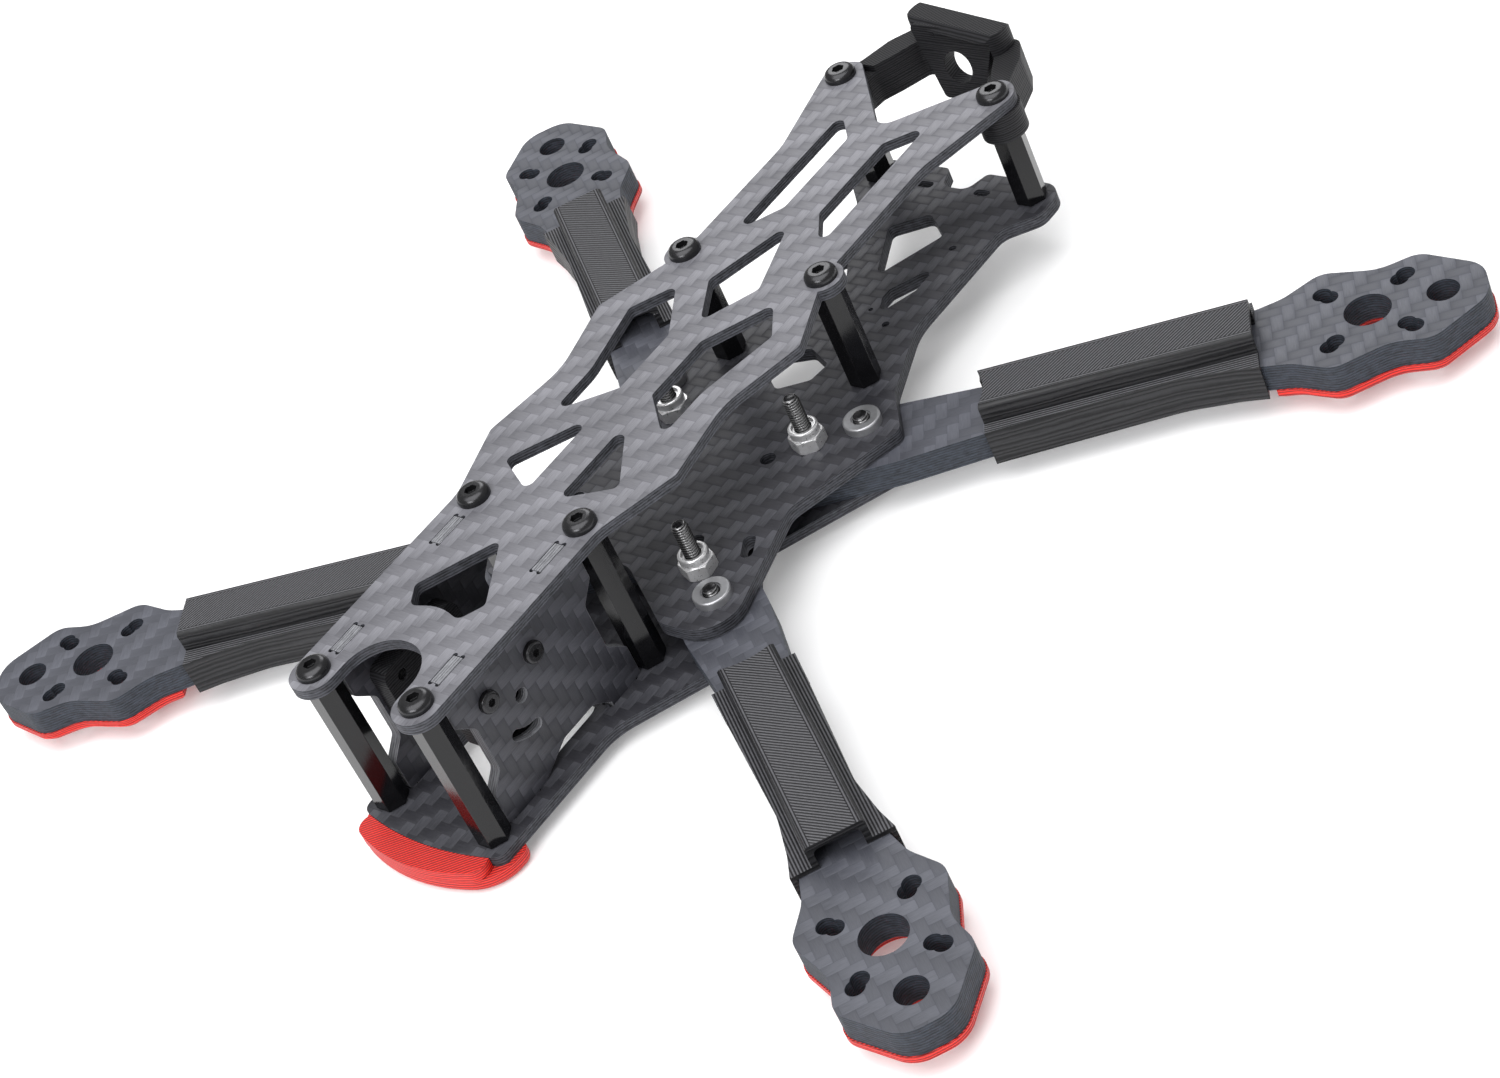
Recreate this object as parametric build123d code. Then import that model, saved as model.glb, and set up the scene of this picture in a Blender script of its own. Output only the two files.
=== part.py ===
"""Bare airframe of a five inch racing quadcopter, as an assembly of separate pieces, in millimetres.

Frame: the origin is the centre of the flight stack's screw pattern, on the top face of the mid plate.
+Z is up, the nose points to -Y and +X is the craft's own left.
"""

from build123d import *
from math import atan2, cos, degrees, hypot, radians, sin
import os

# ---------------------------------------------------------------- driving dimensions
STACK_PITCH = 30.5  # square pattern of the flight stack
SMALL_PITCH = 20.0  # second pattern for small flight controllers
MOTOR_X = 90.0  # motor centres, half the track
MOTOR_Y_FRONT = -66.0
MOTOR_Y_REAR = 69.0

MID_THICK = 2.5
ARM_THICK = 5.0
BOTTOM_THICK = 2.0
TOP_THICK = 2.0
DECK_GAP = 20.0  # clear height between the mid plate and the top plate

Z_ARM_TOP = -MID_THICK
Z_ARM_BOTTOM = Z_ARM_TOP - ARM_THICK
Z_BELLY = Z_ARM_BOTTOM - BOTTOM_THICK
Z_DECK = DECK_GAP
Z_ROOF = DECK_GAP + TOP_THICK
Z_GROUND = Z_BELLY - 3.0  # underside of the cap heads, which the craft stands on

SCREW_R = 1.45  # M3 shank, drawn just under its thread size
SCREW_HOLE_R = 1.6
THREAD_BORE_R = 1.5
HEX_KEY = 2.0  # across flats
BUTTON_R = 2.85
BUTTON_H = 1.65
CAP_R = 2.75
CAP_H = 3.0

STANDOFF_FLATS = 5.0
STANDOFF_THREAD = 6.0  # depth that a screw reaches into a standoff
NOSE_POST = (11.75, -69.25)
CAMERA_POST = (12.0, -29.25)
WAIST_POST = (15.25, 31.5)
TAIL_POST = (17.0, 79.75)
TALL_POSTS = {"nose": NOSE_POST, "camera": CAMERA_POST}
SHORT_POSTS = {"waist": WAIST_POST, "tail": TAIL_POST}

ARM_SCREW_FRONT = (21.8, -19.8)
ARM_SCREW_REAR = (22.0, 21.7)
PRESS_NUT_FLANGE_R = 3.25
PRESS_NUT_FLANGE_H = 1.5
PRESS_NUT_BARREL_R = 2.2
ARM_SCREW_TIP = 2.2
STACK_SCREW_TIP = 10.0
STACK_NUT_H = 4.0

CAMERA_PLATE_X = 11.4  # mid-plane of each upright plate
CAMERA_PLATE_THICK = 2.0
CAMERA_SLOT = 2.3  # width of the slots that the tabs stand in
CAMERA_TABS = ((-64.6, -59.0), (-39.8, -33.9))
CAMERA_PIVOT = (-53.4, 8.3)  # Y and Z of the camera's tilt axis
CAMERA_SLOT_RADIUS = 6.3
BRACKET_SCREWS = ((-59.0, 12.6), (-48.0, 12.6))
BRACKET_THICK = 3.6

GUARD_OUTER_U = -17.8  # sleeve ends, measured along the arm from the motor centre
GUARD_INNER_U = -62.8
GUARD_SKIRT = 1.1  # how far the skirt stands out from the arm
GUARD_GAP = 0.2
GUARD_COVER = 0.9  # cover over the arm's top face
GUARD_LIP = 0.7
GUARD_TUNNEL_H = 4.8  # tunnel for the motor wires, above the arm
GUARD_TUNNEL_W = 9.7
GUARD_WALL = 1.1
GUARD_MOUTH_R = 12.3  # plan curve of the tunnel's inner end
GUARD_SETBACK = {"front_right": 1.9}  # this sleeve sits further in along its arm

SKID_THICK = 2.2
SKID_OUTSET = 0.2
SKID_BEVEL = 1.0
SKID_CENTRE_R = 5.5  # opening under the motor's shaft end
SKID_HOLE_EASE = 0.2  # its other holes are this much larger than the arm's
SKID_INNER_U = -16.5

PARTS = "parts"


# ---------------------------------------------------------------- small helpers
def write(name, shape):
    """One STEP file for one piece, or for one group of identical fasteners."""
    shape.label = name
    export_step(shape, os.path.join(PARTS, name + ".step"))


def loop(corners):
    """Closed outline from (x, y, corner radius) triples."""
    points = [(x, y) for x, y, _ in corners]
    return make_face(FilletPolyline(*points, radius=[r for _, _, r in corners], close=True))


def symmetric(half):
    """Outline mirrored over the Y axis; half runs down the +X side, from the axis to the axis."""
    return loop(half + [(-x, y, r) for x, y, r in reversed(half) if x > 0])


def both_sides(*faces):
    """Each face and its mirror image over the Y axis."""
    return [item for face in faces for item in (face, mirror(face, about=Plane.YZ))]


def discs(points, radius):
    return [Pos(x, y) * Circle(radius) for x, y in points]


def four(x, y):
    return [(x, y), (-x, y), (-x, -y), (x, -y)]


def pair(point):
    x, y = point
    return [(x, y), (-x, y)]


def prism(face, low, high):
    """Straight block of a flat outline between two heights."""
    return Pos(0, 0, low) * extrude(face, high - low)


def cut(face, holes):
    for hole in holes:
        face -= hole
    return face


def rod(x, y, low, high, radius):
    return prism(Pos(x, y) * Circle(radius), low, high)


def hex_prism(x, y, low, high, flats, turn=0.0):
    """Hexagonal prism with a pair of flats facing +Y and -Y when turn is 0."""
    return prism(Pos(x, y) * Rot(0, 0, turn) * RegularPolygon(flats / 2, 6, major_radius=False), low, high)


STACK_POINTS = four(STACK_PITCH / 2, STACK_PITCH / 2)
ARM_SCREW_POINTS = pair(ARM_SCREW_FRONT) + pair(ARM_SCREW_REAR)


# ---------------------------------------------------------------- carbon plates
def top_plate():
    half = [
        (7.55, -59.1, 7.3), (7.5, -73.5, 4.1), (16.0, -73.5, 4.1), (15.8, -29.5, 10), (20.9, -15.2, 1.8),
        (18.2, 0.5, 16), (22.5, 15.9, 1.8), (17.0, 28.2, 2), (15.6, 35.6, 2), (15.6, 60.0, 15),
        (21.8, 83.95, 4.2), (15.3, 83.95, 2.0), (1.2, 69.4, 2.7),
    ]
    face = symmetric(half)
    for disc in discs(pair(WAIST_POST), 3.8):
        face += disc
    face = cut(face, [symmetric([(0, -36.0, 1.0), (8.0, -48.6, 1.2), (5.4, -52.6, 1.6), (0, -51.1, 10)])])
    face = cut(face, [symmetric([(0, 17.0, 1.0), (5.6, 26.3, 1.5), (0, 42.0, 1.0)])])
    nose_triangle = loop([(3.6, -7.5, 1.2), (12.9, -20.4, 1.2), (3.6, -25.4, 1.2)])
    waist_window = loop([
        (3.6, -0.6, 1.0), (12.3, -8.4, 1.2), (12.4, 2.0, 12), (16.0, 16.7, 1.2), (10.9, 23.6, 1.2),
        (3.6, 12.6, 1.5),
    ])
    tail_window = loop([(3.9, 45.8, 1.5), (9.6, 37.9, 1.2), (9.6, 70.4, 1.2), (3.9, 64.4, 1.5)])
    face = cut(face, both_sides(nose_triangle, waist_window, tail_window))
    for post in (NOSE_POST, CAMERA_POST, WAIST_POST, TAIL_POST):
        face = cut(face, discs(pair(post), SCREW_HOLE_R))
    face = cut(face, camera_slots())
    return prism(face, Z_DECK, Z_ROOF)


def camera_slots():
    """Slots for the upright plates' tabs, with relieved corners."""
    slots = []
    for low, high in CAMERA_TABS:
        length = high - low + 0.3
        slot = Pos(CAMERA_PLATE_X, (low + high) / 2) * Rectangle(CAMERA_SLOT, length)
        for dx in (-1, 1):
            for dy in (-1, 1):
                corner = (CAMERA_PLATE_X + dx * (CAMERA_SLOT / 2 - 0.35), (low + high) / 2 + dy * length / 2)
                slot += Pos(*corner) * Circle(0.45)
        slots.append(slot)
    return both_sides(*slots)


def mid_plate():
    half = [
        (0, -17.3, 6), (16.0, -27.5, 5), (30.0, -27.5, 6.6), (21.6, 0.8, 4), (29.4, 22.3, 2.2), (22.6, 29.8, 8),
        (16.0, 45.2, 15), (16.0, 70.8, 4), (21.3, 76.0, 3.5), (21.3, 83.9, 4.2), (4.3, 83.9, 1.2), (2.7, 79.2, 2.3),
    ]
    face = symmetric(half)
    face = cut(face, [symmetric([(0, 54.9, 1.0), (6.2, 67.2, 1.2), (0, 71.9, 1.5)])])
    face = cut(face, [symmetric([(0, 25.0, 1.2), (5.1, 28.6, 1.2), (5.7, 32.9, 1.0), (0, 35.6, 1.5)])])
    side_window = loop([(4.9, 52.4, 1.0), (10.2, 60.2, 1.0), (10.2, 53.3, 2.0), (6.9, 46.4, 0.9), (4.9, 50.2, 1.0)])
    tie_slot = Pos(6.35, 79.0) * SlotOverall(3.3, 1.6)
    strap_slot = Pos(20.2, -8.5) * Rot(0, 0, degrees(atan2(-4.0, 2.3))) * SlotOverall(5.2, 2.2)
    face = cut(face, both_sides(side_window, tie_slot, strap_slot))
    face = cut(face, discs(pair((10.1, 64.6)) + pair((10.0, 44.3)), 0.7))
    face = cut(face, discs(pair((4.7, 47.0)), 0.45))
    face = cut(face, discs(four(SMALL_PITCH / 2, SMALL_PITCH / 2), 1.4))
    face = cut(face, discs(STACK_POINTS, SCREW_HOLE_R))
    face = cut(face, discs(ARM_SCREW_POINTS, PRESS_NUT_BARREL_R + 0.05))
    face = cut(face, discs(pair(WAIST_POST) + pair(TAIL_POST), SCREW_HOLE_R))
    return prism(face, -MID_THICK, 0)


def bottom_plate():
    half = [
        (0, -76.6, 58), (15.8, -72.6, 2), (15.8, -44.0, 12), (29.0, -21.5, 4), (15.0, -3.4, 2),
        (29.8, 22.2, 5), (24.0, 27.6, 3),
    ]
    face = symmetric(half)
    camera_bay = Pos(0, -51.0) * RectangleRounded(20.0, 22.0, 3.0)
    face = cut(face, [camera_bay])
    face = cut(face, discs(STACK_POINTS + ARM_SCREW_POINTS, SCREW_HOLE_R))
    face = cut(face, discs(pair(NOSE_POST) + pair(CAMERA_POST), SCREW_HOLE_R))
    face = cut(face, camera_slots())
    return prism(face, Z_BELLY, Z_ARM_BOTTOM)


# ---------------------------------------------------------------- camera bay
def side_face(corners):
    """Outline drawn in Y and Z, standing in the YZ plane."""
    return Plane.YZ * loop(corners)


def camera_plate():
    """Upright plate of the craft's left side."""
    front, back = -66.3, -32.5
    (tab_a, tab_b), (tab_c, tab_d) = CAMERA_TABS
    body = side_face([
        (front, Z_ARM_BOTTOM, 0.6), (front, -1.5, 0.8), (front + 3.3, 1.6, 1.5), (front + 3.3, 10.6, 1.5),
        (front, 13.8, 0.8), (front, Z_DECK, 0.3), (back, Z_DECK, 0.3), (back, 13.8, 0.8),
        (back - 3.3, 10.6, 1.5), (back - 3.3, 1.6, 1.5), (back, -1.5, 0.8), (back, Z_ARM_BOTTOM, 0.6),
        (-39.0, Z_ARM_BOTTOM, 1.5), (-43.0, -4.3, 2.0), (-50.5, -4.3, 2.0), (-57.0, Z_ARM_BOTTOM, 1.5),
    ])
    for low, high in ((tab_a, tab_b), (tab_c, tab_d)):
        body += Plane.YZ * Pos((low + high) / 2, (Z_BELLY + Z_ARM_BOTTOM + 2) / 2) * Rectangle(high - low, 4.0)
        body += Plane.YZ * Pos((low + high) / 2, Z_ROOF - 2.0) * Rectangle(high - low, 4.0)
    body -= Plane.YZ * Pos(*CAMERA_PIVOT) * Circle(1.25)
    for screw in BRACKET_SCREWS:
        body -= Plane.YZ * Pos(*screw) * Circle(1.1)
    body -= tilt_slot()
    half = CAMERA_PLATE_THICK / 2
    plate = Pos(CAMERA_PLATE_X - half, 0, 0) * extrude(body, CAMERA_PLATE_THICK)
    keep = Pos(CAMERA_PLATE_X, -50, (Z_BELLY + Z_ROOF) / 2) * Box(10, 60, Z_ROOF - Z_BELLY)
    return plate & keep


def tilt_slot():
    """Curved slot below the tilt axis, for the camera's second screw."""
    start, sweep = 229.0, 41.0
    arc = CenterArc(CAMERA_PIVOT, CAMERA_SLOT_RADIUS, start, sweep)
    return Plane.YZ * SlotArc(arc, 2.0)


def camera_bracket():
    """Soft block inside the craft's left upright plate."""
    outer = side_face([
        (-62.4, 5.0, 2.0), (-62.4, 15.6, 2.0), (-44.6, 15.6, 2.0), (-44.6, 5.0, 2.0), (-49.5, 0.2, 2.5),
        (-58.5, 0.2, 2.5),
    ])
    outer -= Plane.YZ * Pos(*CAMERA_PIVOT) * Circle(1.25)
    for screw in BRACKET_SCREWS:
        outer -= Plane.YZ * Pos(*screw) * Circle(1.0)
    outer -= tilt_slot()
    inner_face = CAMERA_PLATE_X - CAMERA_PLATE_THICK / 2
    return Pos(inner_face - BRACKET_THICK, 0, 0) * extrude(outer, BRACKET_THICK)


def bracket_screw(y, z):
    """Small button head screw from outside, through the left upright plate into its bracket."""
    outside = CAMERA_PLATE_X + CAMERA_PLATE_THICK / 2
    head = Plane.YZ * Pos(y, z) * Circle(1.9)
    shank = Plane.YZ * Pos(y, z) * Circle(0.95)
    key = Plane.YZ * Pos(y, z) * RegularPolygon(0.65, 6, major_radius=False)
    screw = Pos(outside, 0, 0) * extrude(head, 1.0)
    screw = fillet(screw.faces().sort_by(Axis.X)[-1].edges(), 0.5)
    screw += Pos(outside - 5.2, 0, 0) * extrude(shank, 5.6)
    screw -= Pos(outside + 0.3, 0, 0) * extrude(key, 1.0)
    return screw


# ---------------------------------------------------------------- arms
class ArmPlace:
    """Where an arm of the craft's left side lies: its motor centre and its direction."""

    def __init__(self, motor_y):
        self.motor_y = motor_y
        self.stack_y = STACK_PITCH / 2 * (1 if motor_y > 0 else -1)
        run_x = MOTOR_X - STACK_PITCH / 2
        run_y = motor_y - self.stack_y
        self.length = hypot(run_x, run_y)  # stack screw to motor centre
        self.angle = degrees(atan2(run_y, run_x))
        self.location = Pos(MOTOR_X, motor_y, 0) * Rot(0, 0, self.angle)

    def put(self, shape):
        """From the arm's own axes, with U outward from the motor centre, to the craft's axes."""
        return self.location * shape

    def local(self, point):
        dx, dy = point[0] - MOTOR_X, point[1] - self.motor_y
        turn = radians(self.angle)
        return (dx * cos(turn) + dy * sin(turn), dy * cos(turn) - dx * sin(turn))


FRONT = ArmPlace(MOTOR_Y_FRONT)
REAR = ArmPlace(MOTOR_Y_REAR)


def arm_outline(extra=0.0):
    """Plan of an arm in its own axes, widened by extra all round."""
    half = [
        (19.0, 3.9, 5.5), (9.3, 11.0, 4), (2.6, 9.4, 8), (-6.6, 12.3, 4), (-13.0, 8.4, 8), (-22.0, 6.3, 14),
        (-31.0, 5.1, 25), (-62.0, 6.0, 30), (-78.0, 7.4, 20), (-118.0, 7.4, 0),
    ]
    corners = half + [(u, -v, r) for u, v, r in reversed(half)]
    face = loop(corners)
    return offset(face, extra, kind=Kind.ARC) if extra else face


def motor_holes(centre_radius=3.85, ease=0.0):
    """Centre bore, four double screw holes for two bolt circles and the tip hole, each widened by ease."""
    holes = [Circle(centre_radius), Pos(12.0, 0) * Circle(2.65 + ease)]
    for step in range(4):
        turn = Rot(0, 0, 45 + 90 * step)
        holes.append(turn * Pos(8.0, 0) * Circle(1.5 + ease) + turn * Pos(9.5, 0) * Circle(1.55 + ease))
    return holes


def arm(place, screw):
    """Left-side arm, cut back near the middle so that the four ends meet there."""
    face = cut(arm_outline(), motor_holes())
    face -= Pos(-place.length, 0) * Circle(SCREW_HOLE_R)
    face -= Pos(*place.local(screw)) * Circle(SCREW_HOLE_R)
    body = place.put(prism(face, Z_ARM_BOTTOM, Z_ARM_TOP))
    joint_gap, reach = 0.15, 200.0
    quadrant = Pos(joint_gap + reach / 2, (joint_gap + reach / 2) * (1 if place.motor_y > 0 else -1), 0)
    return body & quadrant * Box(reach, reach, 40)


def strip(low_u, high_u, half_width=20.0):
    return Pos((low_u + high_u) / 2, 0) * Rectangle(high_u - low_u, 2 * half_width)


def arm_guard(place, setback=0.0):
    """Soft sleeve that clips over an arm, with a tunnel for the motor wires on top."""
    span = strip(GUARD_INNER_U, GUARD_OUTER_U)
    low = Z_ARM_BOTTOM - GUARD_LIP - 0.1
    body = prism(arm_outline(GUARD_SKIRT) & span, low, Z_ARM_TOP + GUARD_COVER)
    box = strip(GUARD_INNER_U, GUARD_OUTER_U, GUARD_TUNNEL_W / 2)
    tunnel = prism(box, Z_ARM_TOP, Z_ARM_TOP + GUARD_TUNNEL_H)
    tunnel = chamfer(tunnel.edges().filter_by(Axis.X).group_by(Axis.Z)[-1], 0.5)
    body += tunnel
    body -= prism(arm_outline(GUARD_GAP) & strip(GUARD_INNER_U - 1, GUARD_OUTER_U + 1),
                  Z_ARM_BOTTOM - 0.1, Z_ARM_TOP + 0.1)
    bore = strip(GUARD_INNER_U - 1, GUARD_OUTER_U + 1, GUARD_TUNNEL_W / 2 - GUARD_WALL)
    wires = prism(bore, Z_ARM_TOP - 0.5, Z_ARM_TOP + GUARD_TUNNEL_H - GUARD_WALL)
    body -= fillet(wires.edges().filter_by(Axis.X).group_by(Axis.Z)[-1], 1.0)
    mouth = Pos(GUARD_INNER_U - GUARD_MOUTH_R + 1.0, 0) * Circle(GUARD_MOUTH_R)
    body -= prism(mouth, Z_ARM_TOP + GUARD_TUNNEL_H - GUARD_WALL - 0.6, Z_ARM_TOP + GUARD_TUNNEL_H + 1)
    opening = offset(arm_outline(), -1.0, kind=Kind.ARC) & strip(GUARD_INNER_U - 1, GUARD_OUTER_U + 1)
    body -= prism(opening, low - 1, Z_ARM_BOTTOM)
    return place.put(Pos(-setback, 0, 0) * body)


def motor_skid(place):
    """Soft pad under the motor mount, bevelled round its lower edge and held by the motor's own screws."""
    low = Z_ARM_BOTTOM - SKID_THICK
    pad = prism(arm_outline(SKID_OUTSET) & strip(SKID_INNER_U, 30), low, Z_ARM_BOTTOM)
    pad = chamfer(pad.faces().sort_by(Axis.Z)[0].edges(), SKID_BEVEL)
    for hole in motor_holes(SKID_CENTRE_R, SKID_HOLE_EASE):
        pad -= prism(hole, low - 1, Z_ARM_BOTTOM + 1)
    return place.put(pad)


# ---------------------------------------------------------------- soft nose and tail pieces
def nose_bumper():
    """Soft bumper round the front edge of the bottom plate, held by the two nose screws."""
    low, web, edge_round = Z_GROUND + 0.1, 1.0, 1.6
    outer = symmetric([(0, -81.0, 34), (16.7, -75.6, 8), (16.7, -67.2, 2.0)])
    body = prism(outer, low, Z_BELLY)
    body = fillet(body.faces().sort_by(Axis.Z)[0].edges(), edge_round)
    wall = symmetric([(0, -81.0, 34), (14.6, -76.3, 2.5), (13.4, -72.0, 0)])
    body += prism(wall, Z_BELLY - 0.5, Z_ARM_BOTTOM)
    body -= prism(bottom_plate_edge(0.1), Z_BELLY, Z_ARM_BOTTOM + 1)
    body -= prism(Pos(0, -62.8) * RectangleRounded(15.0, 12.0, 3.0), low - 1, Z_BELLY + 1)
    for x, y in pair(NOSE_POST):
        body -= rod(x, y, low - 1, Z_BELLY + 1, SCREW_HOLE_R)
        body -= rod(x, y, low - 1, Z_BELLY - web, BUTTON_R + 0.25)
    return body


def bottom_plate_edge(extra):
    """Plan of the bottom plate's nose, widened by extra, as the bumper wraps it."""
    face = symmetric([(0, -76.6, 58), (15.8, -72.6, 2), (15.8, -40.0, 0)])
    return offset(face, extra, kind=Kind.ARC)


def antenna_mount():
    """Soft tail piece: a collar on each tail standoff, two arms, a leaning plate and a hood."""
    x, y = TAIL_POST
    low, high = 14.8, Z_DECK - 0.1
    arm_low, arm_high = 14.0, 21.3
    lean = 10.0
    plate_z, plate_thick = 17.7, 3.0
    body = None
    for side in (1, -1):
        collar = rod(side * x, y, low, high, 4.1)
        wall_plan = loop([
            (side * 19.4, 81.4, 1.0), (side * 16.6, 85.0, 3), (side * 14.6, 91.3, 3), (side * 11.6, 95.5, 2),
            (side * 6.0, 95.5, 0.5), (side * 5.8, 92.4, 0.5), (side * 8.7, 92.0, 1), (side * 11.3, 87.0, 2),
            (side * 13.3, 83.8, 2), (side * 13.7, 80.6, 0.5),
        ])
        wall = prism(wall_plan, arm_low, high)
        beyond = Pos(0, 84.2 + 10) * Rectangle(60, 20)
        wall += prism(wall_plan & beyond, arm_low, arm_high)
        piece = collar + wall
        body = piece if body is None else body + piece
    plate = loop([
        (-9.4, 7.5, 1.0), (9.4, 7.5, 1.0), (5.6, -2.8, 2), (4.4, -6.3, 1.0), (-4.4, -6.3, 1.0), (-5.6, -2.8, 2),
    ])
    plate -= Circle(3.05)
    leaning = Plane(origin=(0, 90.6, plate_z), x_dir=(1, 0, 0), z_dir=(0, cos(radians(lean)), -sin(radians(lean))))
    plate = mirror(plate, about=Plane.XZ)
    body += leaning * extrude(plate, plate_thick)
    body += hood()
    body -= leaning * (Pos(0, 0, -5) * extrude(Circle(3.05), 14))
    for side in (1, -1):
        body -= hex_prism(side * x, y, arm_low - 1, high + 1, STANDOFF_FLATS + 0.1)
    return body


def hood():
    """Bar along X over the leaning plate, hollow at its front except near one end."""
    length, depth, height = 22.3, 6.5, 4.6
    lobe, end_wall = 7.4, 1.4
    profile = loop([
        (-depth / 2, -height / 2, 0), (-depth / 2, height / 2 - 1.4, 0), (-depth / 2 + 1.2, height / 2, 0),
        (depth / 2 - 1.6, height / 2, 0), (depth / 2, height / 2 - 1.6, 0), (depth / 2, -height / 2, 0),
    ])
    bar = Pos(-length / 2, 0, 0) * extrude(Plane.YZ * profile, length)
    bar &= prism(RectangleRounded(length, depth, 3.0), -height, height)
    channel = Pos((lobe - end_wall) / 2, -depth / 2 + 1.2, -0.8) * Box(length - lobe - end_wall, depth - 2.2, height - 1.4)
    bar -= channel
    return Pos(0.2, 94.2, 23.3) * Rot(0, 0, -8.0) * bar


# ---------------------------------------------------------------- standoffs, screws and nuts
def standoff(point, low):
    body = hex_prism(*point, low, Z_DECK, STANDOFF_FLATS)
    body = chamfer(body.edges().group_by(Axis.Z)[0] + body.edges().group_by(Axis.Z)[-1], 0.25)
    return body - rod(*point, low - 1, Z_DECK + 1, THREAD_BORE_R)


def button_screw(x, y, seat, length, up=True):
    """Button head screw with its head on the far side of the seat; up means that its shank points up."""
    head = rod(0, 0, -BUTTON_H, 0, BUTTON_R)
    head = fillet(head.faces().sort_by(Axis.Z)[0].edges(), 1.2)
    screw = head + rod(0, 0, -0.5, length, SCREW_R)
    screw = chamfer(screw.faces().sort_by(Axis.Z)[-1].edges(), 0.3)
    screw -= hex_prism(0, 0, -BUTTON_H - 1, -BUTTON_H + 1.1, HEX_KEY)
    return Pos(x, y, seat) * (Rot(0, 0, 0) if up else Rot(180, 0, 0)) * screw


def cap_screw(x, y, seat, tip):
    """Cap head screw from below, with its head under the seat and its end at the tip's height."""
    head = rod(x, y, seat - CAP_H, seat, CAP_R)
    head = fillet(head.faces().sort_by(Axis.Z)[0].edges(), 0.4)
    screw = head + rod(x, y, seat - 0.5, tip, SCREW_R)
    screw = chamfer(screw.faces().sort_by(Axis.Z)[-1].edges(), 0.35)
    return screw - hex_prism(x, y, seat - CAP_H - 1, seat - CAP_H + 1.6, 2.5)


def lock_nut(x, y):
    """Hexagonal nut with the round collar of its nylon ring."""
    hexagon_h, ring_seat = 2.4, 0.45
    hexagon = hex_prism(x, y, 0, hexagon_h, 5.5, turn=40)
    bevel = chamfer(rod(x, y, 0, hexagon_h, 3.15).edges(), 0.22)
    nut = (hexagon & bevel) + rod(x, y, hexagon_h - 0.2, STACK_NUT_H, 2.6)
    nut = fillet(nut.faces().sort_by(Axis.Z)[-1].edges(), 0.35)
    nut -= rod(x, y, STACK_NUT_H - ring_seat, STACK_NUT_H + 1, 1.95)
    return nut - rod(x, y, -1, STACK_NUT_H + 1, THREAD_BORE_R)


def press_nut(x, y):
    """Round flanged nut, its barrel pressed into the mid plate."""
    flange = rod(x, y, 0, PRESS_NUT_FLANGE_H, PRESS_NUT_FLANGE_R)
    flange = fillet(flange.edges().group_by(Axis.Z)[-1], 0.3)
    nut = flange + rod(x, y, -MID_THICK + 0.1, 0.5, PRESS_NUT_BARREL_R)
    nut -= rod(x, y, PRESS_NUT_FLANGE_H - 0.35, PRESS_NUT_FLANGE_H + 1, 1.8)
    return nut - rod(x, y, -MID_THICK - 1, PRESS_NUT_FLANGE_H + 1, THREAD_BORE_R)


def group(solids):
    return Compound(children=list(solids))


def mirrored(shape):
    """Mirror image over the craft's centre plane."""
    return mirror(shape, about=Plane.YZ)


# ---------------------------------------------------------------- the assembly
def main():
    os.makedirs("parts", exist_ok=True)
    write("top_plate", top_plate())
    write("mid_plate", mid_plate())
    write("bottom_plate", bottom_plate())

    for name, piece in (("camera_plate", camera_plate()), ("camera_bracket", camera_bracket())):
        write(name + "_left", piece)
        write(name + "_right", mirrored(piece))
    left_screws = [bracket_screw(y, z) for y, z in BRACKET_SCREWS]
    write("camera_bracket_screws", group(left_screws + [mirrored(screw) for screw in left_screws]))

    for end, place, screw in (("front", FRONT, ARM_SCREW_FRONT), ("rear", REAR, ARM_SCREW_REAR)):
        write("arm_" + end + "_left", arm(place, screw))
        write("arm_" + end + "_right", mirrored(arm(place, screw)))
        write("motor_skid_" + end + "_left", motor_skid(place))
        write("motor_skid_" + end + "_right", mirrored(motor_skid(place)))
        write("arm_guard_" + end + "_left", arm_guard(place, GUARD_SETBACK.get(end + "_left", 0.0)))
        write("arm_guard_" + end + "_right", mirrored(arm_guard(place, GUARD_SETBACK.get(end + "_right", 0.0))))

    write("nose_bumper", nose_bumper())
    write("antenna_mount", antenna_mount())

    for posts, low in ((TALL_POSTS, Z_ARM_BOTTOM), (SHORT_POSTS, 0.0)):
        for name, point in posts.items():
            write("standoff_" + name + "_left", standoff(point, low))
            write("standoff_" + name + "_right", mirrored(standoff(point, low)))

    posts = (NOSE_POST, CAMERA_POST, WAIST_POST, TAIL_POST)
    top_screws = [button_screw(x, y, Z_ROOF, TOP_THICK + STANDOFF_THREAD, up=False) for p in posts for x, y in pair(p)]
    write("top_plate_screws", group(top_screws))
    seats = ((NOSE_POST, Z_BELLY - 1.0), (CAMERA_POST, Z_BELLY), (WAIST_POST, -MID_THICK), (TAIL_POST, -MID_THICK))
    base_screws = [button_screw(x, y, seat, 8.0) for point, seat in seats for x, y in pair(point)]
    write("standoff_base_screws", group(base_screws))
    write("stack_screws", group(cap_screw(x, y, Z_BELLY, STACK_SCREW_TIP) for x, y in STACK_POINTS))
    write("stack_nuts", group(lock_nut(x, y) for x, y in STACK_POINTS))
    write("arm_screws", group(cap_screw(x, y, Z_BELLY, ARM_SCREW_TIP) for x, y in ARM_SCREW_POINTS))
    write("press_nuts", group(press_nut(x, y) for x, y in ARM_SCREW_POINTS))


main()
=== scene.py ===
"""Looks of a bare five inch racing quadcopter airframe: procedural materials, finer screws, light and camera.

Shapes and places are in millimetres in the CAD frame until they are handed to Blender, which works in metres.
Only the lights, the camera and the floor's size are given in metres.
"""

from math import atan2, cos, degrees, pi, radians, sin

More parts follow.
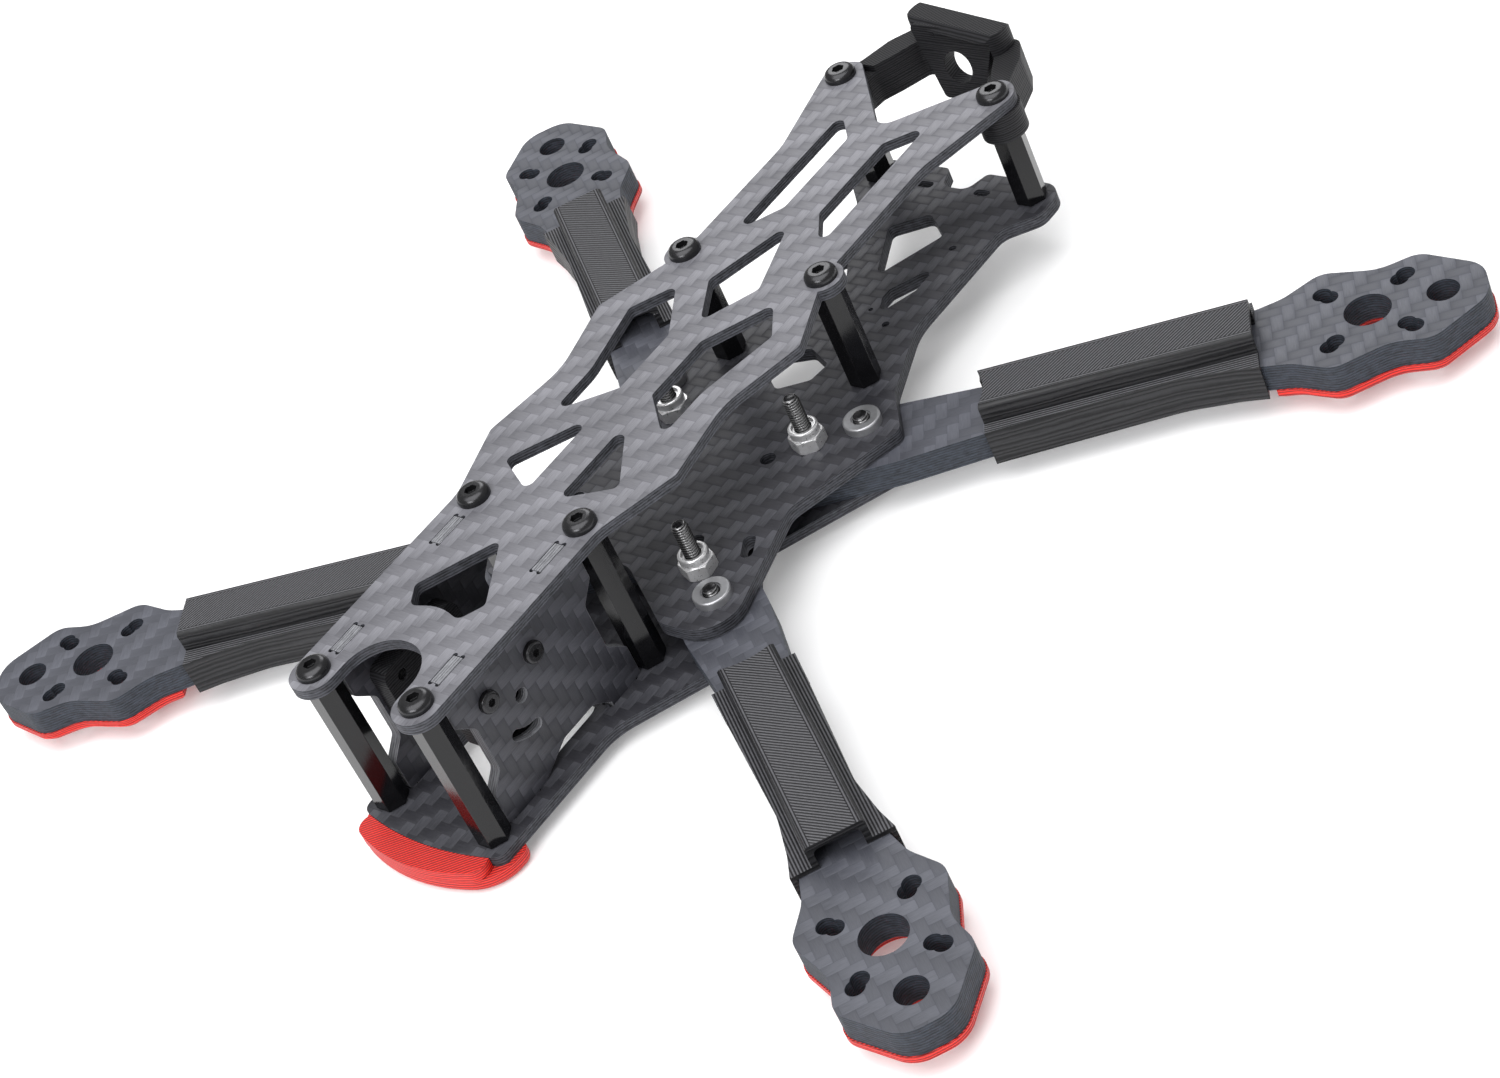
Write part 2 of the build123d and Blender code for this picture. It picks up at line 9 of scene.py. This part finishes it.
import bpy
from mathutils import Euler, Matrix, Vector


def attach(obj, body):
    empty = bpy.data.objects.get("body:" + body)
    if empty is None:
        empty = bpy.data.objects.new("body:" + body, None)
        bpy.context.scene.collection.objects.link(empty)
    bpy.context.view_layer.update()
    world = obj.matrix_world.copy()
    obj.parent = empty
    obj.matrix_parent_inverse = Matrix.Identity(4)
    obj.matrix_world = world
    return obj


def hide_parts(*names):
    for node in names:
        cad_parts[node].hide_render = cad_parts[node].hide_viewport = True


MM = 0.001

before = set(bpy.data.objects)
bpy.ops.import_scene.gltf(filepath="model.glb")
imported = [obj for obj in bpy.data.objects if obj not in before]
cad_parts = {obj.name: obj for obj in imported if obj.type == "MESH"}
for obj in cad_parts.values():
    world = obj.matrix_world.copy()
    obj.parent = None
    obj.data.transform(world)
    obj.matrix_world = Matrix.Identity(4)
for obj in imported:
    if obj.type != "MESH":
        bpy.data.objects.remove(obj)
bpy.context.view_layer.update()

# ---------------------------------------------------------------- driving values
TOW = 2.0  # width of one carbon tow in the 2 x 2 twill
TWILL_REPEAT, TWILL_FLOAT = 4.0, 2.0  # tows before the weave repeats, and tows that one float passes over
TOW_FLATNESS = 4.0  # 2 would be a round tow, and more is flatter
FIBRE_ACROSS, FIBRE_ALONG = 9.0, 0.5  # how finely the fibres vary across a tow and along it
WEFT_SEED = 7.0  # keeps the weft's fibres from repeating the warp's
FACE_ROUGHNESS, CUT_ROUGHNESS = 0.42, 0.62
TOW_RELIEF, FIBRE_RELIEF = 0.035, 0.012  # heights on the faces of the laminate
PLY = 0.5  # pitch of the layers that show on cut edges
PLY_RELIEF, CUT_RELIEF = 0.05, 0.06  # heights on the cut edges
LAMINATE_FACING, PRINT_FACING = 0.6, 0.75  # a normal this much along the thickness is a face, less is an edge

LAYER, GUARD_LAYER = 0.45, 0.95  # pitch of the grooves that show between printed layers
LAYER_RELIEF = 0.11  # depth of those grooves, as a share of their pitch
BEAD, BEAD_RELIEF = 0.52, 0.12  # width of one printed line on top faces, and its height
OUTLINE_BEADS = 2.4  # lines that run along the border of a top face
BLOTCH_RELIEF = 0.03
COS_45 = 0.7071

SOFT_EDGE, METAL_EDGE = 0.15, 0.12  # radius that edges look rounded to
BEVEL_SAMPLES = 4
EDGE_GAIN = 6.0  # how soon a turned edge gets the full painted edge highlight
MARK_RELIEF = 0.006  # height of machining marks
THREAD_PITCH, THREAD_DEPTH = 0.5, 0.34

STACK_HALF = 15.25
MOTOR_X, MOTOR_Y_FRONT, MOTOR_Y_REAR = 90.0, -66.0, 69.0
GUARD_HALF_WIDTH = 4.85
GROUND = -12.5
SIDES = (("left", 1), ("right", -1))

SCREW_SEAT, STACK_TIP, ARM_SCREW_TIP = -9.5, 10.0, 2.2  # heights of the heads' seat and of the tips
ARM_SCREW_FRONT, ARM_SCREW_REAR = (21.8, -19.8), (22.0, 21.7)  # on the left, and mirrored to the right
CAP_RADIUS, CAP_HEIGHT = 2.75, 3.0
SHANK_RADIUS = 1.46
THREAD_LOW = -2.4  # the thread stops here, where the mid plate hides it
RINGS_PER_TURN, SEGMENTS = 8, 40  # mesh steps along one turn of thread, and around the axis
AXIS_RADIUS = 0.02  # end faces are closed by a disc this small

WHITE = (1.0, 1.0, 1.0, 1.0)
WORLD_STRENGTH = 0.36
LIGHTS = (  # name, place, point aimed at, size and watts
    ("overhead", (0.05, -0.2, 1.3), (0, 0, 0), (1.6, 1.6), 25.0),
    ("back", (-0.62, 0.72, 0.62), (0, 0.05, 0), (0.5, 0.35), 2.5),
    ("front", (0.25, -0.9, 0.6), (0, 0, 0), (0.6, 0.4), 6.0),
)
FLOOR_HALF = 3.0
PAPER_DARK, PAPER_LIGHT = (0.78, 0.78, 0.785), (0.81, 0.81, 0.815)
FLOOR_GLOW = 0.22  # lifts the paper and softens its shadows
CAMERA_PLACE, CAMERA_TURN = (0.3695, -0.2542, 0.3236), (49.94, 20.57, 38.31)  # the turn is in degrees
CAMERA_LENS, SENSOR_WIDTH = 80.75, 36.0
NEAREST_SEEN = 0.01


# ---------------------------------------------------------------- shader arithmetic
class Field:
    """A number that varies over a surface: a shader socket that takes ordinary arithmetic."""

    def __init__(self, graph, socket):
        self.graph, self.socket = graph, socket

    def __add__(self, other):
        return self.graph.math("ADD", self, other)

    def __radd__(self, other):
        return self.graph.math("ADD", other, self)

    def __sub__(self, other):
        return self.graph.math("SUBTRACT", self, other)

    def __rsub__(self, other):
        return self.graph.math("SUBTRACT", other, self)

    def __mul__(self, other):
        return self.graph.math("MULTIPLY", self, other)

    def __rmul__(self, other):
        return self.graph.math("MULTIPLY", other, self)

    def __truediv__(self, other):
        return self.graph.math("DIVIDE", self, other)

    def __mod__(self, other):
        return self.graph.math("FLOORED_MODULO", self, other)

    def __pow__(self, other):
        return self.graph.math("POWER", self, other)

    def __abs__(self):
        return self.graph.math("ABSOLUTE", self)

    def __lt__(self, other):
        return self.graph.math("LESS_THAN", self, other)

    def __gt__(self, other):
        return self.graph.math("GREATER_THAN", self, other)

    def floor(self):
        return self.graph.math("FLOOR", self)

    def clamped(self):
        return self.graph.math("MINIMUM", self.graph.math("MAXIMUM", self, 0.0), 1.0)

    def ridge(self, power):
        """1 at the middle of each whole step and 0 between steps, with a flatter top for a higher power."""
        return 1.0 - abs((self % 1.0) * 2.0 - 1.0) ** power


class Graph:
    """One material and the few node calls that its recipe needs. Coordinates are in millimetres."""

    def __init__(self, name):
        self.material = bpy.data.materials.new(name)
        self.material.use_nodes = True
        self.tree = self.material.node_tree
        self.shader = self.tree.nodes["Principled BSDF"]
        coordinates = self.node("ShaderNodeTexCoord")
        scaled = self.node("ShaderNodeVectorMath")
        scaled.operation = "SCALE"
        scaled.inputs["Scale"].default_value = 1 / MM
        self.link(coordinates.outputs["Object"], scaled.inputs[0])
        self.x, self.y, self.z = self.split(scaled.outputs[0])
        self.nx, _, self.nz = self.split(coordinates.outputs["Normal"])

    def node(self, kind):
        return self.tree.nodes.new(kind)

    def link(self, source, target):
        self.tree.links.new(source, target)

    def feed(self, value, target):
        if isinstance(value, Field):
            self.link(value.socket, target)
        else:
            target.default_value = value

    def math(self, operation, *values):
        node = self.node("ShaderNodeMath")
        node.operation = operation
        for value, target in zip(values, node.inputs):
            self.feed(value, target)
        return Field(self, node.outputs[0])

    def split(self, vector):
        node = self.node("ShaderNodeSeparateXYZ")
        self.link(vector, node.inputs[0])
        return [Field(self, socket) for socket in node.outputs]

    def vector(self, x, y, z):
        node = self.node("ShaderNodeCombineXYZ")
        for value, target in zip((x, y, z), node.inputs):
            self.feed(value, target)
        return node.outputs[0]

    def noise(self, x, y, z, scale=1.0, detail=2.0, roughness=0.5):
        node = self.node("ShaderNodeTexNoise")
        node.inputs["Scale"].default_value = scale
        node.inputs["Detail"].default_value = detail
        node.inputs["Roughness"].default_value = roughness
        self.link(self.vector(x, y, z), node.inputs["Vector"])
        return Field(self, node.outputs[0])

    def blend(self, factor, low, high):
        """A number between low and high."""
        return low + (high - low) * factor

    def colour(self, factor, low, high):
        """A colour between low and high, each a triple or a socket."""
        node = self.node("ShaderNodeMix")
        node.data_type = "RGBA"
        self.feed(factor, node.inputs["Factor"])
        for value, target in ((low, node.inputs["A"]), (high, node.inputs["B"])):
            self.paint(value, target)
        return node.outputs["Result"]

    def paint(self, value, target):
        if isinstance(value, bpy.types.NodeSocket):
            self.link(value, target)
        else:
            target.default_value = (*value, 1.0)

    def rounded(self, radius):
        """The normal with edges rounded off, and how much an edge is turned by it."""
        bevel = self.node("ShaderNodeBevel")
        bevel.samples = BEVEL_SAMPLES
        bevel.inputs["Radius"].default_value = radius * MM
        flat = self.node("ShaderNodeNewGeometry")
        dot = self.node("ShaderNodeVectorMath")
        dot.operation = "DOT_PRODUCT"
        self.link(bevel.outputs[0], dot.inputs[0])
        self.link(flat.outputs["Normal"], dot.inputs[1])
        turned = ((1.0 - Field(self, dot.outputs["Value"])) * EDGE_GAIN).clamped()
        return bevel.outputs[0], turned

    def finish(self, colour, roughness, height=None, normal=None, **constants):
        """Feeds the shader. Height is in millimetres and comes with the normal that it is laid over."""
        self.paint(colour, self.shader.inputs["Base Color"])
        self.feed(roughness, self.shader.inputs["Roughness"])
        for name, value in constants.items():
            self.shader.inputs[name.replace("_", " ")].default_value = value
        if height is not None:
            bump = self.node("ShaderNodeBump")
            bump.inputs["Distance"].default_value = MM
            self.feed(height, bump.inputs["Height"])
            self.link(normal, bump.inputs["Normal"])
            self.link(bump.outputs[0], self.shader.inputs["Normal"])
        return self.material


# ---------------------------------------------------------------- materials
# Bare weights in these recipes mix patterns that run from 0 to 1. They were set one by one.
def twill(g, a, b):
    """2 x 2 twill over two in-plane coordinates.

    Gives whether the warp is on top, the height from 0 to 1, the fibres, and the place along the float.
    """
    i, j = (a / TOW).floor(), (b / TOW).floor()
    across_warp, across_weft = (a / TOW).ridge(TOW_FLATNESS), (b / TOW).ridge(TOW_FLATNESS)
    is_warp = (i + j) % TWILL_REPEAT < TWILL_FLOAT - 0.5
    warp_run = ((i + b / TOW) % TWILL_REPEAT) / TWILL_FLOAT
    weft_run = ((j + a / TOW) % TWILL_REPEAT) / TWILL_FLOAT - 1.0
    warp_height = across_warp * (1.0 - abs(warp_run * 2.0 - 1.0) ** TOW_FLATNESS).clamped()
    weft_height = across_weft * (1.0 - abs(weft_run * 2.0 - 1.0) ** TOW_FLATNESS).clamped()
    height = g.blend(is_warp, weft_height, warp_height)
    warp_fibre = g.noise(a * FIBRE_ACROSS, b * FIBRE_ALONG, 0.0, detail=3.0)
    weft_fibre = g.noise(a * FIBRE_ALONG, b * FIBRE_ACROSS, WEFT_SEED, detail=3.0)
    run = g.blend(is_warp, 1.0 - weft_run, warp_run)
    return is_warp, height, g.blend(is_warp, weft_fibre, warp_fibre), run


def carbon(name, warp, weft, gap, edge_dark, edge_light, thickness="Z", angle=0.0, **constants):
    """Woven carbon laminate: twill on its faces, turned by an angle, and its layers on the cut edges. Warp
    and weft differ in colour as a painted sheen, each float lightens along its length as painted shading, and
    turned edges get a painted highlight.
    """
    g = Graph(name)
    turn = radians(angle)
    if thickness == "Z":
        a, b = 0.0 - (g.x * cos(turn) + g.y * sin(turn)), g.y * cos(turn) - g.x * sin(turn)
        depth, facing = g.z, abs(g.nz)
    else:
        a, b, depth, facing = g.y, g.z, g.x, abs(g.nx)
    is_warp, height, fibre, run = twill(g, a, b)
    cloudy = g.noise(g.x, g.y, g.z, scale=0.06, detail=3.0)
    # run lightens each float from one end to the other: painted shading for the light that the float's curve
    # catches. The fibres and the cloudy noise are the laminate's own tone.
    tone = run * 0.4 + fibre + cloudy * 0.8 - 0.5
    # Warp and weft floats get different colours: a painted sheen for the light that the fibre direction
    # catches.
    tow = g.colour(tone.clamped(), gap, g.colour(is_warp, weft, warp))
    face = g.colour((height * 9.0 + 0.3).clamped(), gap, tow)
    streaks = g.noise(g.x * 0.5, g.y * 0.5, depth * 5.0, detail=4.0, roughness=0.65)
    mottle = g.noise(g.x, g.y, depth * 2.0, scale=0.8, detail=4.0, roughness=0.7)
    layers = (depth / PLY + streaks * 0.5).ridge(1.2)
    edge = g.colour((layers * 0.7 + streaks * 1.6 + mottle * 1.6 - 1.5).clamped(), edge_dark, edge_light)
    on_face = facing > LAMINATE_FACING
    normal, edge_highlight = g.rounded(SOFT_EDGE)
    # Turned edges are mixed towards a lighter colour: a painted highlight where rounded edges would catch the
    # light.
    painted_edge_highlight = [min(1.0, c * 2.1) for c in edge_light]
    colour = g.colour(edge_highlight * 0.4, g.colour(on_face, edge, face), painted_edge_highlight)
    face_height = height * TOW_RELIEF + fibre * FIBRE_RELIEF
    edge_height = layers * PLY_RELIEF + streaks * CUT_RELIEF
    face_rough = FACE_ROUGHNESS + (1.0 - height) * 0.18 + fibre * 0.1
    rough = g.blend(on_face, CUT_ROUGHNESS + streaks * 0.15, face_rough)
    return g.finish(colour, rough, g.blend(on_face, edge_height, face_height), normal, **constants)


def printed(name, dark, light, roughness, angle=0.0, centre=(0.0, 0.0), half_width=None, painted_wall_shade=1.0,
            layer=LAYER, **constants):
    """Soft print: layer lines on its walls, and diagonal lines on its top faces, both coloured lighter on
    their crests and darker in their grooves as painted highlight and painted shade; the walls are also
    darkened as painted shade.

    With a half width, the top faces also have outlines along the border of a strip at that angle and centre.
    """
    g = Graph(name)
    turn = radians(angle)
    dx, dy = g.x - centre[0], g.y - centre[1]
    u = dx * cos(turn) + dy * sin(turn)
    v = dy * cos(turn) - dx * sin(turn)
    wobble = g.noise(g.x, g.y, g.z, scale=0.55)
    slow = g.noise(g.x, g.y, g.z, scale=0.12)
    uneven = g.noise(g.x * 0.05, g.y * 0.05, g.z, scale=0.9, detail=1.0)
    layer_lines = (g.z / layer + uneven * 1.6 + wobble * 0.3).ridge(1.3)
    top_lines = ((u - v) * COS_45 / BEAD + slow * 0.5).ridge(1.2)
    if half_width is not None:
        outlines = (abs(v) / BEAD).ridge(1.2)
        top_lines = g.blend(abs(v) > half_width - OUTLINE_BEADS * BEAD, top_lines, outlines)
    on_top = abs(g.nz) > PRINT_FACING
    # Each line is light on its crest and dark in its groove; in the colour this is painted highlight and
    # painted shade, and the blotches are the print's own uneven tone.
    lines = g.blend(on_top, layer_lines, top_lines)
    blotch = g.noise(g.x, g.y, g.z, scale=1.7, detail=4.0, roughness=0.7)
    # The wall factor darkens the walls below the top faces: painted shade on the walls.
    tone = (lines * 1.4 + blotch * 0.7 - 0.72).clamped() * g.blend(on_top, painted_wall_shade, 1.0)
    colour = g.colour(tone, dark, light)
    height = g.blend(on_top, layer_lines * layer * LAYER_RELIEF, top_lines * BEAD_RELIEF)
    rough = roughness + (1.0 - lines) * 0.2 + blotch * 0.1
    normal, _ = g.rounded(SOFT_EDGE)
    return g.finish(colour, rough, height + blotch * BLOTCH_RELIEF, normal, **constants)


def metal(name, colour, roughness, metallic, streak=0.12, scale=(2.0, 2.0, 2.0), threaded=False):
    """Plated or blackened metal with fine machining marks, small blemishes, a painted highlight on turned
    edges and perhaps painted highlights on thread crests with painted shade in their grooves.
    """
    g = Graph(name)
    marks = g.noise(g.x * scale[0], g.y * scale[1], g.z * scale[2], detail=4.0, roughness=0.65)
    blemish = g.noise(g.x, g.y, g.z, scale=0.9, detail=3.0)
    dull = [c * 0.7 for c in colour]
    painted_rim_highlight = [min(1.0, c * 1.8 + 0.03) for c in colour]
    shade = g.colour((blemish * 0.9 + marks * 0.3 - 0.2).clamped(), dull, colour)
    normal, edge_highlight = g.rounded(METAL_EDGE)
    # Turned edges are mixed towards a lighter colour: a painted highlight on the rims.
    shade = g.colour(edge_highlight * 0.35, shade, painted_rim_highlight)
    if threaded:
        # Thread crests keep the light metal colour and the grooves go near black: painted highlights on the
        # crests and painted shade in the grooves.
        turn = g.math("ARCTAN2", g.y, g.x) / (2 * pi)
        crest = (g.z / THREAD_PITCH - turn + 0.5).ridge(1.0) ** 1.6
        shade = g.colour(crest.clamped(), (0.003, 0.003, 0.003), shade)
    rough = roughness + marks * streak + blemish * 0.06
    return g.finish(shade, rough, marks * MARK_RELIEF, normal, Metallic=metallic)


# In each carbon, the difference between the warp and weft colours is painted sheen.
CARBON_TOP = carbon("carbon_top", warp=(0.212, 0.212, 0.236), weft=(0.150, 0.150, 0.168),
                    gap=(0.056, 0.056, 0.065), edge_dark=(0.004, 0.005, 0.007),
                    edge_light=(0.080, 0.083, 0.100))
CARBON_DARK = carbon("carbon_dark", warp=(0.082, 0.083, 0.096), weft=(0.042, 0.042, 0.050),
                     gap=(0.008, 0.008, 0.011), edge_dark=(0.003, 0.003, 0.005),
                     edge_light=(0.070, 0.073, 0.087), Specular_IOR_Level=0.38)
CARBON_SIDE = carbon("carbon_upright", warp=(0.040, 0.041, 0.051), weft=(0.072, 0.073, 0.088),
                     gap=(0.011, 0.011, 0.015), edge_dark=(0.07, 0.072, 0.08),
                     edge_light=(0.24, 0.243, 0.262), thickness="X")
BLACK_PRINT = printed("black_print", dark=(0.001, 0.001, 0.002), light=(0.019, 0.019, 0.022), roughness=0.45,
                      Specular_IOR_Level=0.3)
RED_PRINT = printed("red_print", dark=(0.24, 0.002, 0.001), light=(0.84, 0.018, 0.008), roughness=0.40)
ANODISED = metal("black_anodised", (0.004, 0.004, 0.005), 0.07, metallic=0.2, streak=0.05,
                 scale=(6.0, 6.0, 0.3))
BLACK_STEEL = metal("black_steel", (0.050, 0.050, 0.053), 0.16, metallic=0.8)
# Its light colour is the painted highlight on the thread crests; the grooves get painted shade.
THREAD_STEEL = metal("black_thread_painted_crests", (0.55, 0.55, 0.56), 0.20, metallic=0.9, threaded=True)
ZINC = metal("zinc_steel", (0.90, 0.90, 0.91), 0.20, metallic=0.72)
SATIN_ZINC = metal("zinc_satin", (0.56, 0.565, 0.585), 0.32, metallic=0.88, scale=(5.0, 5.0, 5.0))


def arm_angle(motor_y):
    """Direction of a left arm, in degrees, from its stack screw to its motor centre."""
    stack_y = STACK_HALF if motor_y > 0 else -STACK_HALF
    return degrees(atan2(motor_y - stack_y, MOTOR_X - STACK_HALF))


def dress(prefix, material):
    """The material goes on every CAD node whose name starts with the prefix."""
    for name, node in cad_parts.items():
        if name.startswith(prefix):
            node.data.materials.clear()
            node.data.materials.append(material)


for prefix, material in (  # a later row wins, so screws come after the parts whose names they share
    ("top_plate", CARBON_TOP),
    ("mid_plate", CARBON_DARK),
    ("bottom_plate", CARBON_DARK),
    ("camera_plate", CARBON_SIDE),
    ("camera_bracket", BLACK_PRINT),
    ("motor_skid", RED_PRINT),
    ("nose_bumper", RED_PRINT),
    ("antenna_mount", BLACK_PRINT),
    ("standoff", ANODISED),
    ("top_plate_screws", BLACK_STEEL),
    ("standoff_base_screws", BLACK_STEEL),
    ("camera_bracket_screws", BLACK_STEEL),
    ("stack_screws", BLACK_STEEL),
    ("arm_screws", BLACK_STEEL),
    ("stack_nuts", ZINC),
    ("press_nuts", SATIN_ZINC),
):
    dress(prefix, material)
for end, motor_y in (("front", MOTOR_Y_FRONT), ("rear", MOTOR_Y_REAR)):
    for side, sign in SIDES:
        angle = arm_angle(motor_y) if sign > 0 else 180.0 - arm_angle(motor_y)
        guard_print = printed("guard_print_" + end + "_" + side, dark=(0.001, 0.001, 0.002),
                              light=(0.105, 0.105, 0.115), roughness=0.42, angle=angle,
                              centre=(sign * MOTOR_X, motor_y), half_width=GUARD_HALF_WIDTH, painted_wall_shade=0.16,
                              layer=GUARD_LAYER, Specular_IOR_Level=0.4)
        dress("arm_guard_" + end + "_" + side, guard_print)
        arm_carbon = carbon("carbon_arm_" + end + "_" + side, warp=(0.094, 0.098, 0.119),
                            weft=(0.066, 0.069, 0.085), gap=(0.032, 0.034, 0.043),
                            edge_dark=(0.003, 0.005, 0.008), edge_light=(0.041, 0.050, 0.070), angle=angle)
        dress("arm_" + end + "_" + side, arm_carbon)


# ---------------------------------------------------------------- threaded stack and arm screws
def turned(name, rings):
    """Closed surface round the Z axis, from rings of (height, radius or a function from angle to radius)."""
    points, faces = [], []
    for height, radius in rings:
        for step in range(SEGMENTS):
            turn = 2 * pi * step / SEGMENTS
            r = radius(turn) if callable(radius) else radius
            points.append((r * cos(turn) * MM, r * sin(turn) * MM, height * MM))
    for ring in range(len(rings) - 1):
        for step in range(SEGMENTS):
            low, next_step = ring * SEGMENTS, (step + 1) % SEGMENTS
            faces.append((low + step, low + SEGMENTS + step, low + SEGMENTS + next_step, low + next_step))
    faces.append(tuple(range(SEGMENTS)))
    faces.append(tuple(reversed(range(len(points) - SEGMENTS, len(points)))))
    mesh = bpy.data.meshes.new(name)
    mesh.from_pydata(points, [], faces)
    mesh.shade_smooth()
    return mesh


def hexagon(flats):
    """Radius of a hexagon that measures this much across its flats, as a function of the angle."""
    return lambda turn: flats / 2 / cos((turn + pi / 6) % (pi / 3) - pi / 6)


def thread(height, radius, depth):
    """Radius of a right-hand thread at one height, as a function of the angle."""
    def at(turn):
        phase = (height / THREAD_PITCH - turn / (2 * pi)) % 1.0
        return radius - depth * abs(2 * phase - 1)
    return at


def threaded_screw(name, tip):
    """Cap screw that stands up from below, threaded down to where the mid plate hides it."""
    chamfer, point = 0.1, 0.3  # edge breaks, and how much narrower the shank is at its tip
    run_in = 0.7  # the thread reaches its full depth over this length
    socket_flats, socket_depth, rim = 2.5, 1.6, 0.35
    mouth_wider, mouth_depth = 0.2, 0.15  # the socket's chamfered mouth
    end_face = SHANK_RADIUS - 0.5
    thread_top = tip - 0.2
    head_top, head_low = SCREW_SEAT, SCREW_SEAT - CAP_HEIGHT
    rings = [(tip, AXIS_RADIUS), (tip, end_face), (tip - chamfer, SHANK_RADIUS - point)]
    count = int((thread_top - THREAD_LOW) / THREAD_PITCH * RINGS_PER_TURN)
    for step in range(count):
        height = thread_top - step * THREAD_PITCH / RINGS_PER_TURN
        fade = min(1.0, (tip - height) / run_in)
        rings.append((height, thread(height, SHANK_RADIUS - point * (1 - fade), THREAD_DEPTH * fade)))
    rings += [
        (THREAD_LOW - chamfer, SHANK_RADIUS),
        (head_top, SHANK_RADIUS),
        (head_top, CAP_RADIUS - chamfer),
        (head_top - chamfer, CAP_RADIUS),
        (head_low + rim, CAP_RADIUS),
        (head_low + chamfer, CAP_RADIUS - chamfer),
        (head_low, CAP_RADIUS - rim),
        (head_low, hexagon(socket_flats + mouth_wider)),
        (head_low + mouth_depth, hexagon(socket_flats)),
        (head_low + socket_depth, hexagon(socket_flats)),
        (head_low + socket_depth, AXIS_RADIUS),
    ]
    mesh = turned(name, rings)
    mesh.materials.append(BLACK_STEEL)
    mesh.materials.append(THREAD_STEEL)
    for face in mesh.polygons:
        if THREAD_LOW * MM < face.center.z < (tip - 0.05) * MM:
            face.material_index = 1
    return mesh


def place_screws(node, stem, tip, front, rear):
    """Four threaded screws in place of a CAD node, at the front and rear points and their mirrors."""
    mesh = threaded_screw(stem, tip)
    for end, (x, y) in (("front", front), ("rear", rear)):
        for side, sign in SIDES:
            screw = bpy.data.objects.new(stem + "_" + end + "_" + side, mesh)
            screw.location = (sign * x * MM, y * MM, 0)
            bpy.context.scene.collection.objects.link(screw)
            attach(screw, "root")
            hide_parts(node)


place_screws("stack_screws", "stack_screw", STACK_TIP, (STACK_HALF, -STACK_HALF), (STACK_HALF, STACK_HALF))
place_screws("arm_screws", "arm_screw", ARM_SCREW_TIP, ARM_SCREW_FRONT, ARM_SCREW_REAR)


# ---------------------------------------------------------------- light, floor and camera
def area_light(name, place, aim, size, power):
    data = bpy.data.lights.new(name, "AREA")
    data.shape, data.size, data.size_y = "RECTANGLE", size[0], size[1]
    data.energy = power
    light = bpy.data.objects.new(name, data)
    light.location = place
    light.rotation_euler = (Vector(aim) - Vector(place)).to_track_quat("-Z", "Y").to_euler()
    bpy.context.scene.collection.objects.link(light)


def studio():
    """Even white surroundings and the lights."""
    world = bpy.data.worlds.new("studio")
    world.use_nodes = True
    background = world.node_tree.nodes["Background"]
    background.inputs["Color"].default_value = WHITE
    background.inputs["Strength"].default_value = WORLD_STRENGTH
    bpy.context.scene.world = world
    for light in LIGHTS:
        area_light(*light)


def floor():
    """Pale paper that the airframe stands on."""
    mesh = bpy.data.meshes.new("floor")
    corners = [(x * FLOOR_HALF, y * FLOOR_HALF, GROUND * MM) for x, y in ((-1, -1), (1, -1), (1, 1), (-1, 1))]
    mesh.from_pydata(corners, [], [(0, 1, 2, 3)])
    plane = bpy.data.objects.new("floor", mesh)
    bpy.context.scene.collection.objects.link(plane)
    g = Graph("floor_paper")
    tone = g.noise(g.x, g.y, g.z, scale=0.004)
    paper = g.colour(tone, PAPER_DARK, PAPER_LIGHT)
    grain = g.noise(g.x, g.y, g.z, scale=3.0)
    mesh.materials.append(g.finish(paper, 0.9 + grain * 0.05, Specular_IOR_Level=0.1,
                                   Emission_Color=WHITE, Emission_Strength=FLOOR_GLOW))


def camera():
    data = bpy.data.cameras.new("camera")
    data.lens, data.sensor_width = CAMERA_LENS, SENSOR_WIDTH
    data.clip_start = NEAREST_SEEN
    view = bpy.data.objects.new("camera", data)
    view.location = CAMERA_PLACE
    view.rotation_euler = Euler([radians(turn) for turn in CAMERA_TURN])
    bpy.context.scene.collection.objects.link(view)
    bpy.context.scene.camera = view


studio()
floor()
camera()
bpy.context.scene.view_settings.view_transform = "Standard"
